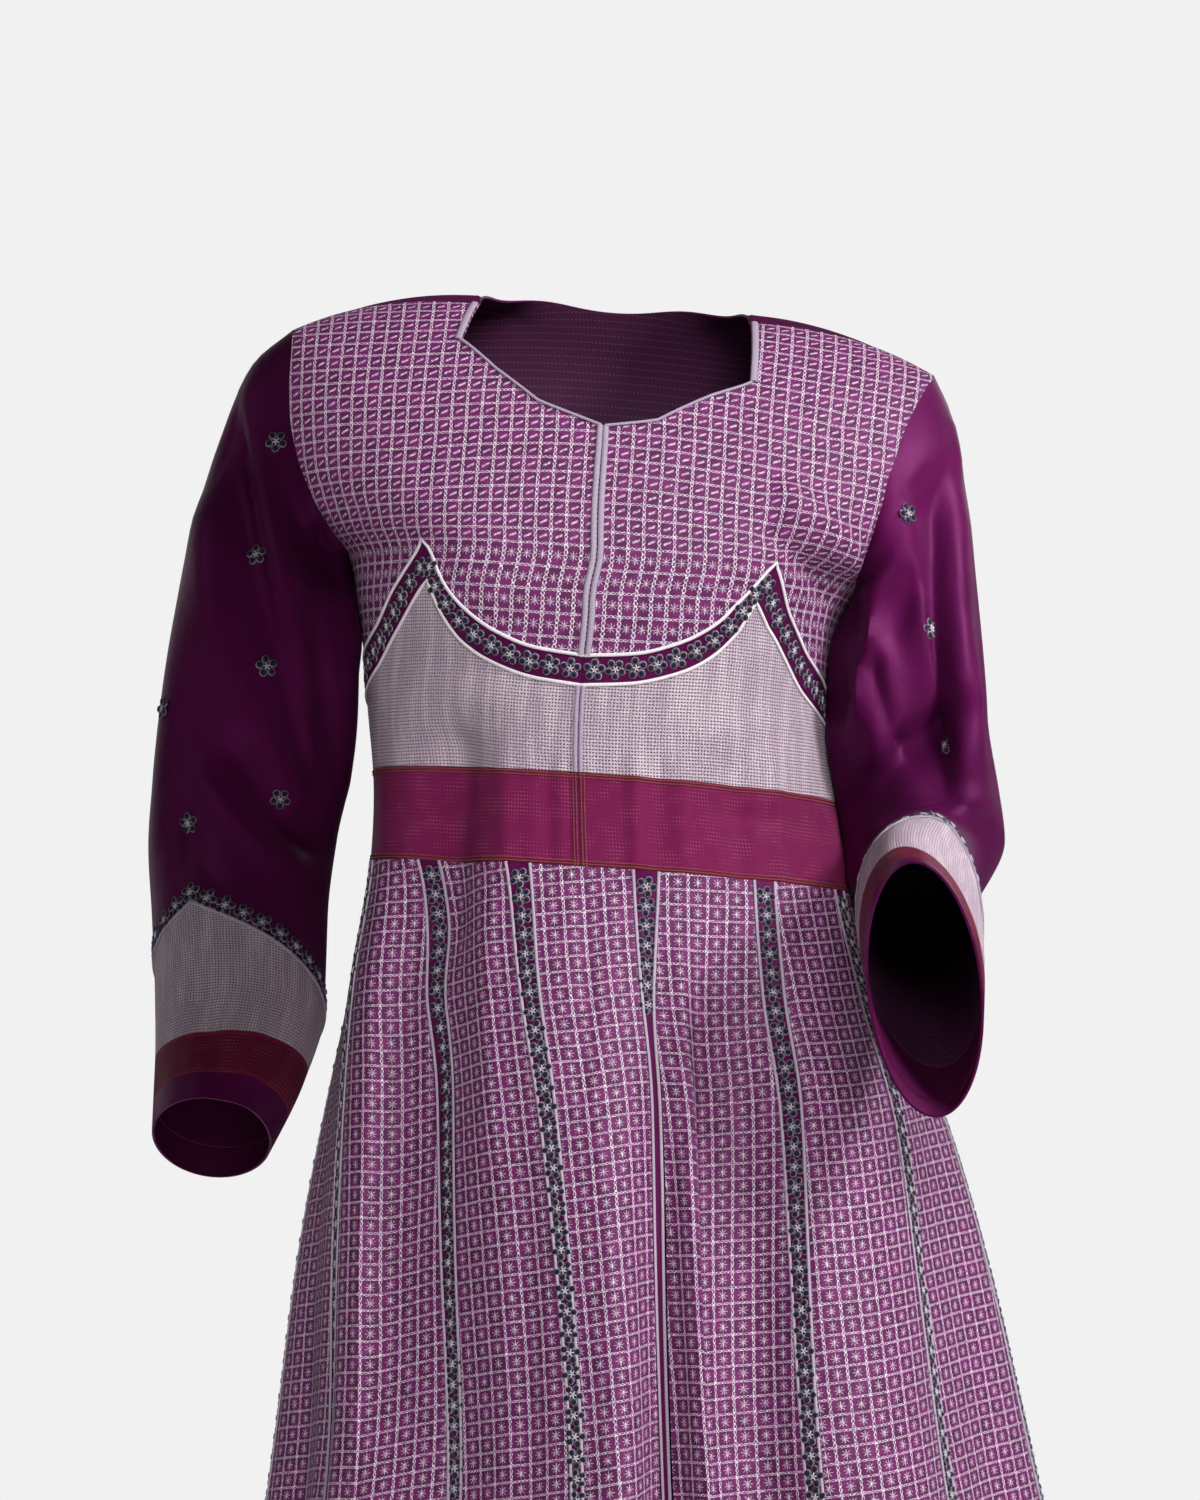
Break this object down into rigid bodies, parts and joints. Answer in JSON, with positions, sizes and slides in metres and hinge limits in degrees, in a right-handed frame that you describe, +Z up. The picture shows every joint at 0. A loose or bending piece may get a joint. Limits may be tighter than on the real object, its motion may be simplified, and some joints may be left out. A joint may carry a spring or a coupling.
{
  "type": "afghan dress",
  "caption": "Long flared dress with a grid-stitched yoke, scalloped flower band, pale midriff, braided waistband, gored skirt with flower strips, and long sleeves with peaked pale cuffs",
  "frame": {"origin": "Between the shoulders, on the level line beside the neck where they hold the dress up", "axes": "+Z up, -Y the front of the dress, +X the wearer's left"},
  "size_m": [0.7524, 0.6753, 1.3959],
  "materials": {
    "plum_satin": "satin",
    "grid_embroidery": "chain-stitched grid in silver-lilac thread on plum satin",
    "floral_embroidery": "flower chain in grey and navy thread between pale cords",
    "pale_embroidery": "dense silver-lilac stitching",
    "raspberry_braid": "woven braid with fine gold dots",
    "lilac_cord": "satin stitch"
  },
  "bodies": {
    "root": {"bodice_yoke_right": "grid_embroidery", "bodice_yoke_left": "grid_embroidery", "bodice_floral_band_right": "floral_embroidery", "bodice_floral_band_left": "floral_embroidery", "bodice_pale_panel_right": "pale_embroidery", "bodice_pale_panel_left": "pale_embroidery", "bodice_back": "plum_satin", "centre_front_band_right": "lilac_cord", "centre_front_band_left": "lilac_cord", "neckline_edge_right": "lilac_cord", "neckline_edge_left": "lilac_cord", "neck_binding_right": "lilac_cord", "neck_binding_left": "lilac_cord", "waistband_front_right": "raspberry_braid", "waistband_front_left": "raspberry_braid", "waistband_back": "raspberry_braid", "gore_01": "grid_embroidery", "gore_02": "grid_embroidery", "gore_03": "grid_embroidery", "gore_04": "grid_embroidery", "gore_05": "grid_embroidery", "gore_06": "grid_embroidery", "gore_07": "grid_embroidery", "gore_08": "grid_embroidery", "gore_09": "grid_embroidery", "gore_10": "grid_embroidery", "gore_11": "grid_embroidery", "gore_12": "grid_embroidery", "floral_strip_01": "floral_embroidery", "floral_strip_02": "floral_embroidery", "floral_strip_03": "floral_embroidery", "floral_strip_04": "floral_embroidery", "floral_strip_05": "floral_embroidery", "floral_strip_06": "floral_embroidery", "floral_strip_07": "floral_embroidery", "floral_strip_08": "floral_embroidery", "floral_strip_09": "floral_embroidery", "floral_strip_10": "floral_embroidery", "floral_strip_11": "floral_embroidery", "floral_strip_12": "floral_embroidery", "hem_band": "plum_satin", "sleeve_right": "plum_satin", "sleeve_left": "plum_satin", "cuff_floral_band_right": "floral_embroidery", "cuff_floral_band_left": "floral_embroidery", "cuff_pale_panel_right": "pale_embroidery", "cuff_pale_panel_left": "pale_embroidery", "cuff_braid_right": "raspberry_braid", "cuff_braid_left": "raspberry_braid", "cuff_hem_right": "plum_satin", "cuff_hem_left": "plum_satin"}
  },
  "joints": []
}
